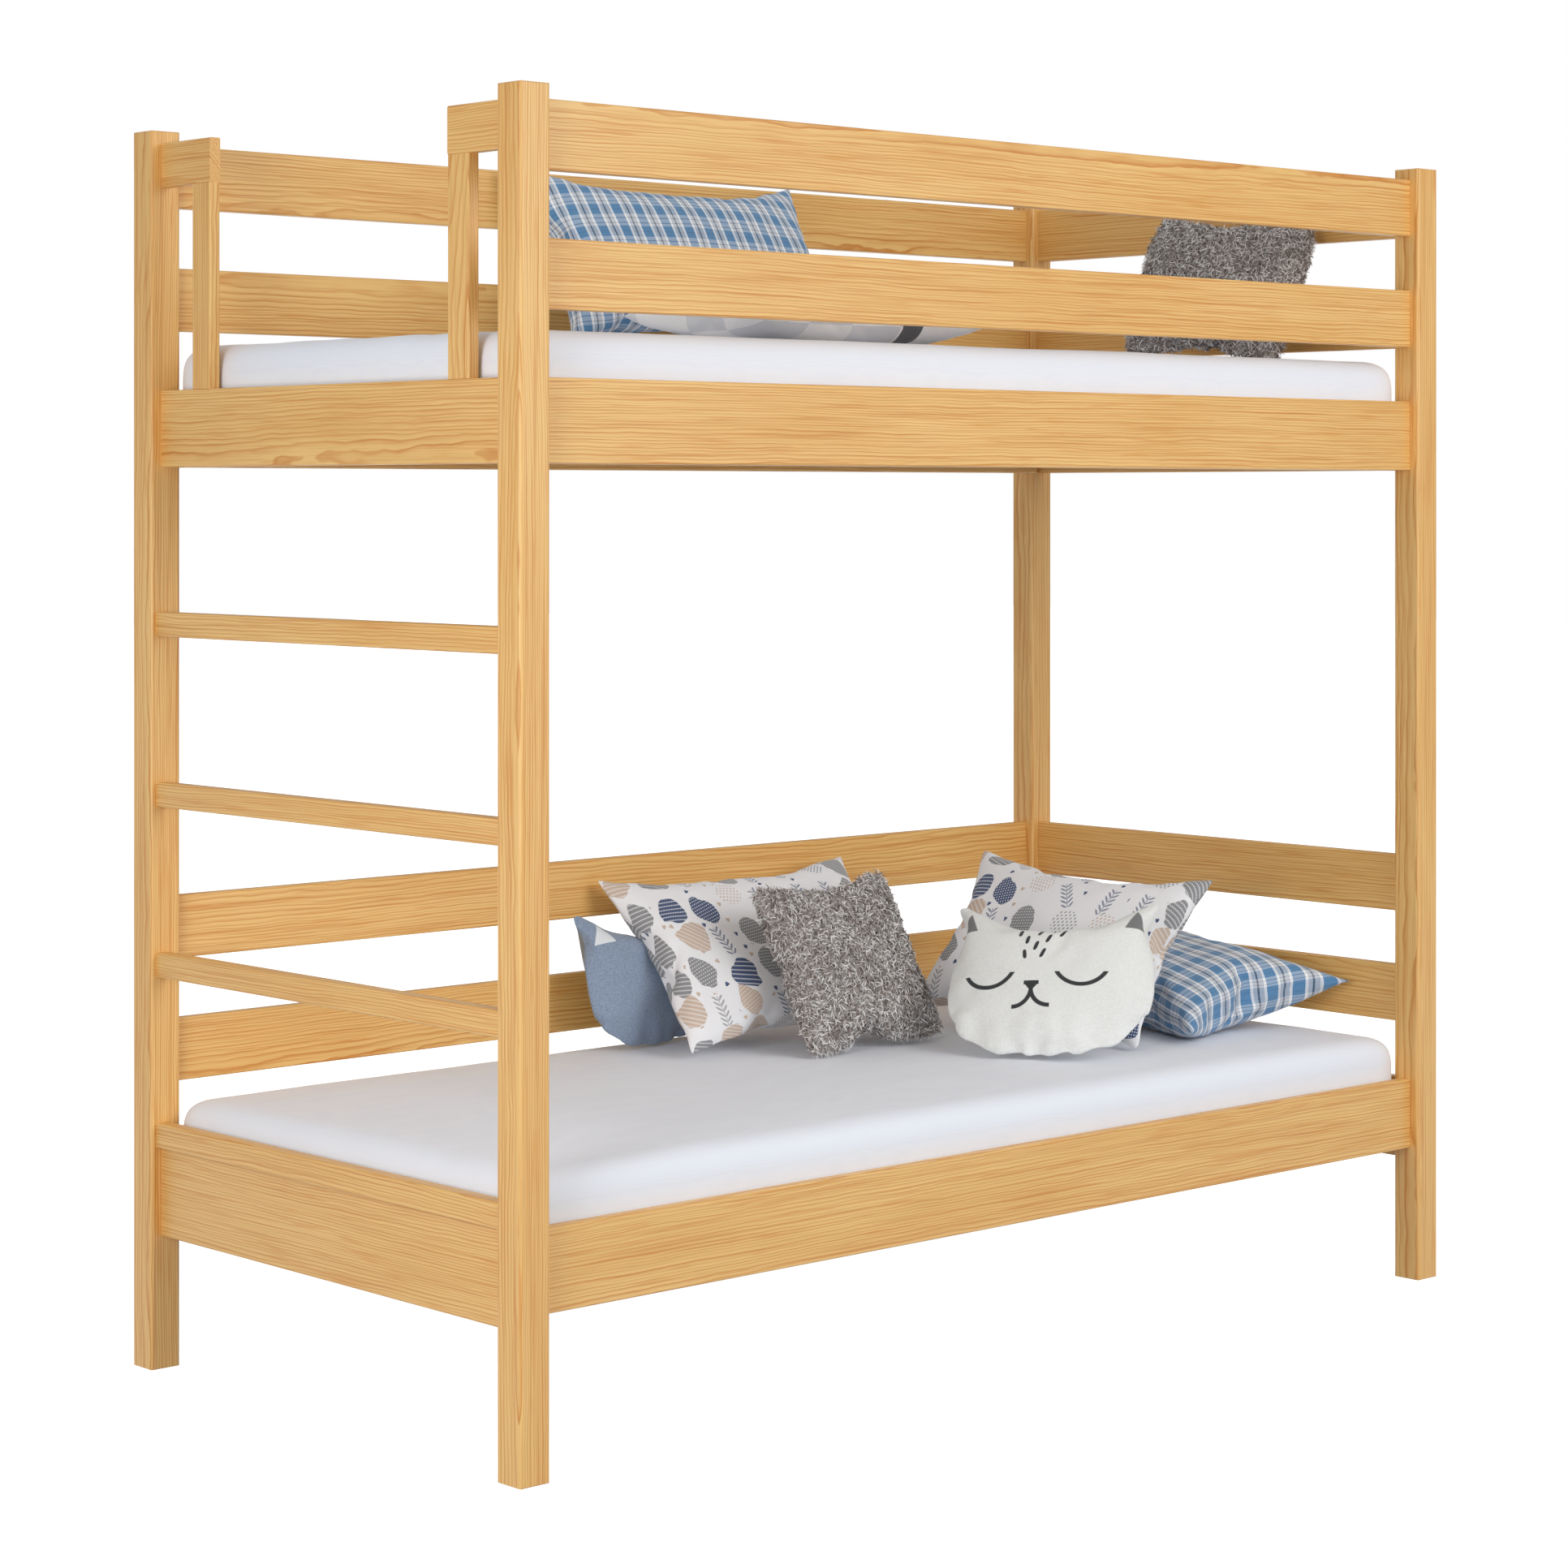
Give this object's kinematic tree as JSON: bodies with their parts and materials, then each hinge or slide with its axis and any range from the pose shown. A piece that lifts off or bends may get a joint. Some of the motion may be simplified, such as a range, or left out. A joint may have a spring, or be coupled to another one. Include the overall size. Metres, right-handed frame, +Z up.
{
  "type": "bunk bed with ladder",
  "caption": "Pine bunk bed with square posts, slatted guard rails, a ladder built into one end, two mattresses and loose cushions.",
  "frame": {"origin": "on the floor, in the middle of the four feet", "axes": "+X along the bed from the ladder end to the foot end, -Y the open side, +Y the wall side, +Z up"},
  "size_m": [2.12, 1.02, 2.013],
  "materials": {
    "pine": "clear satin lacquer on pine",
    "raw_pine": "unlacquered planed pine",
    "beech": "plain fluted dowel",
    "zinc": "zinc plated",
    "webbing": "woven tape",
    "sheet": "plain white cotton fitted sheet",
    "plaid": "blue, grey and white checked cotton",
    "check": "white cotton with a pale grey check",
    "fur": "long grey-brown pile",
    "denim": "blue woven cotton, grey back",
    "print": "white cotton with a navy, grey and beige print",
    "linen": "off-white coarse linen"
  },
  "bodies": {
    "frame": {"post_front_ladder": "pine", "post_back_ladder": "pine", "post_front_foot": "pine", "post_back_foot": "pine", "upper_front_rail": "pine", "upper_back_rail": "pine", "upper_ladder_board": "pine", "upper_foot_board": "pine", "lower_front_rail": "pine", "lower_back_rail": "pine", "lower_ladder_board": "pine", "lower_foot_board": "pine", "guard_front_low": "pine", "guard_front_high": "pine", "guard_back_low": "pine", "guard_back_high": "pine", "guard_foot_low": "pine", "guard_foot_high": "pine", "rest_back_low": "pine", "rest_back_high": "pine", "rest_foot_low": "pine", "rest_foot_high": "pine", "gate_board_front": "pine", "gate_board_back": "pine", "gate_upright_front": "pine", "gate_upright_back": "pine", "rung_1": "pine", "rung_2": "pine", "rung_3": "pine", "rung_4": "pine", "upper_front_ledger": "pine", "upper_back_ledger": "pine", "lower_front_ledger": "pine", "lower_back_ledger": "pine", "upper_slats": "raw_pine", "lower_slats": "raw_pine", "upper_slat_tapes": "webbing", "lower_slat_tapes": "webbing", "board_dowels": "beech", "rung_dowels": "beech", "hanger_bolts": "zinc", "half_moon_washers": "zinc", "bolt_nuts": "zinc", "ledger_screws": "zinc"},
    "upper_bedding": {"upper_mattress": "sheet", "plaid_pillow_upper": "plaid", "check_pillow_upper": "check", "fur_cushion_upper": "fur"},
    "lower_bedding": {"lower_mattress": "sheet", "ear_cushion_blue": "denim", "print_pillow_left": "print", "fur_cushion_lower": "fur", "print_pillow_right": "print", "face_cushion_linen": "linen", "plaid_pillow_lower": "plaid"}
  },
  "joints": [
    {"name": "upper_bedding_lift", "type": "slide", "parent": "frame", "child": "upper_bedding", "axis": [0, 0, 1], "range_m": [0, 0.5]},
    {"name": "lower_bedding_lift", "type": "slide", "parent": "frame", "child": "lower_bedding", "axis": [0, 0, 1], "range_m": [0, 0.15]}
  ]
}
